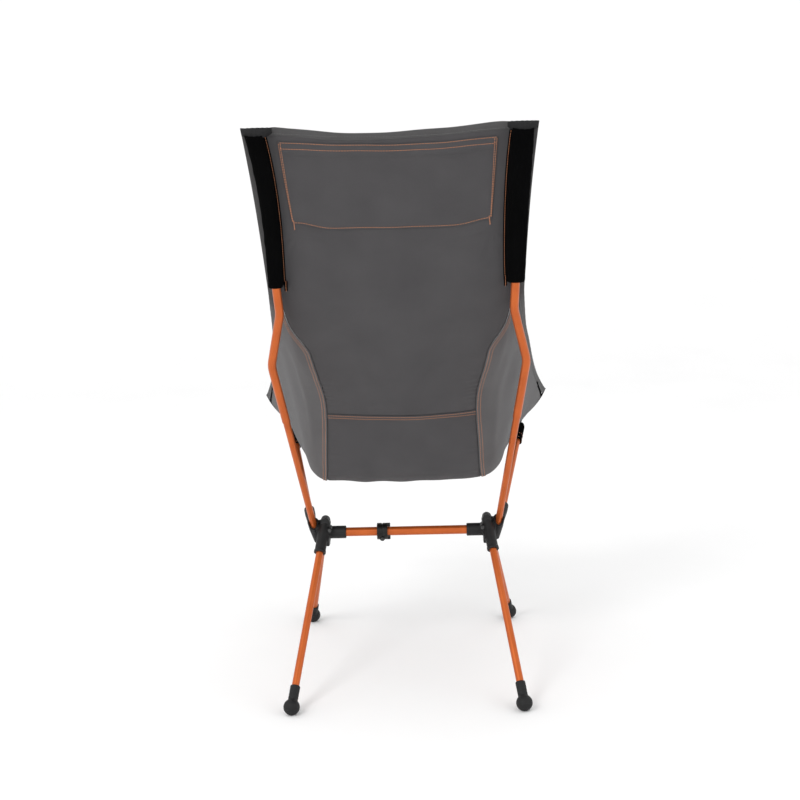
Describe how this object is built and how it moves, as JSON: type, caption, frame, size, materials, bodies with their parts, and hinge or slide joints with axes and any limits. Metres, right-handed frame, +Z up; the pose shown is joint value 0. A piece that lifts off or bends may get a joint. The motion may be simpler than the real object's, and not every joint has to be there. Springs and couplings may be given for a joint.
{
  "type": "folding camping chair",
  "caption": "High-back packable camping chair: a sewn four-corner seat on bent aluminium poles, moulded hubs on a crossbar and splayed legs with ball feet.",
  "frame": {"origin": "on the floor, in the middle of the outline", "axes": "+Z up, the seat opens towards -Y, the sitter's left is +X"},
  "size_m": [0.546, 0.6615, 0.988],
  "materials": {
    "hub_nylon": "moulded, fine grain",
    "clip_nylon": "moulded",
    "screw_steel": "black oxide",
    "orange_tube": "satin orange anodised",
    "foot_rubber": "matt",
    "shock_cord": "braided",
    "seat_fabric": "plain weave ripstop",
    "hem_fabric": "folded hem",
    "black_webbing": "heavy black cloth"
  },
  "bodies": {
    "chair": {"hub_left": "hub_nylon", "hub_right": "hub_nylon", "hub_screw_left": "screw_steel", "hub_screw_right": "screw_steel", "crossbar": "orange_tube", "back_pole_lower_left": "orange_tube", "back_pole_lower_right": "orange_tube", "back_pole_upper_left": "orange_tube", "back_pole_upper_right": "orange_tube", "seat_arm_left": "orange_tube", "seat_arm_right": "orange_tube", "back_pole_tip_left": "clip_nylon", "back_pole_tip_right": "clip_nylon", "seat_arm_tip_left": "clip_nylon", "seat_arm_tip_right": "clip_nylon", "crossbar_cord": "shock_cord", "rear_leg_cord_left": "shock_cord", "rear_leg_cord_right": "shock_cord", "front_leg_cord_left": "shock_cord", "front_leg_cord_right": "shock_cord", "back_pole_cord_left": "shock_cord", "back_pole_cord_right": "shock_cord", "seat_arm_cord_left": "shock_cord", "seat_arm_cord_right": "shock_cord", "back_panel": "seat_fabric", "seat_panel": "seat_fabric", "back_pocket": "seat_fabric", "side_gusset_left": "seat_fabric", "side_gusset_right": "seat_fabric", "top_hem": "hem_fabric", "side_hem_left": "hem_fabric", "side_hem_right": "hem_fabric", "top_corner_cap_left": "hem_fabric", "top_corner_cap_right": "hem_fabric", "front_hem": "black_webbing", "pole_sleeve_left": "black_webbing", "pole_sleeve_right": "black_webbing", "pull_tab_left": "black_webbing", "pull_tab_right": "black_webbing", "tip_pocket_left": "black_webbing", "tip_pocket_right": "black_webbing"},
    "rear_leg_left_body": {"rear_leg_left": "orange_tube", "rear_foot_left": "foot_rubber"},
    "rear_leg_right_body": {"rear_leg_right": "orange_tube", "rear_foot_right": "foot_rubber"},
    "front_leg_left_body": {"front_leg_left": "orange_tube", "front_foot_left": "foot_rubber"},
    "front_leg_right_body": {"front_leg_right": "orange_tube", "front_foot_right": "foot_rubber"},
    "clip": {"clip_rear_half": "clip_nylon", "clip_front_half": "clip_nylon", "clip_screw": "screw_steel"}
  },
  "joints": [
    {"name": "rear_leg_left_pull", "type": "slide", "parent": "chair", "child": "rear_leg_left_body", "axis": [0.1429, 0.692, -0.7077], "range_m": [0, 0.045], "stiffness_N_per_m": 200, "springref_m": -0.05},
    {"name": "rear_leg_right_pull", "type": "slide", "parent": "chair", "child": "rear_leg_right_body", "axis": [-0.1429, 0.692, -0.7077], "range_m": [0, 0.045], "stiffness_N_per_m": 200, "springref_m": -0.05},
    {"name": "front_leg_left_pull", "type": "slide", "parent": "chair", "child": "front_leg_left_body", "axis": [0.1414, -0.6346, -0.7598], "range_m": [0, 0.045], "stiffness_N_per_m": 200, "springref_m": -0.05},
    {"name": "front_leg_right_pull", "type": "slide", "parent": "chair", "child": "front_leg_right_body", "axis": [-0.1414, -0.6346, -0.7598], "range_m": [0, 0.045], "stiffness_N_per_m": 200, "springref_m": -0.05},
    {"name": "clip_slide", "type": "slide", "parent": "chair", "child": "clip", "axis": [1, 0, 0], "range_m": [-0.137, 0.055]}
  ]
}
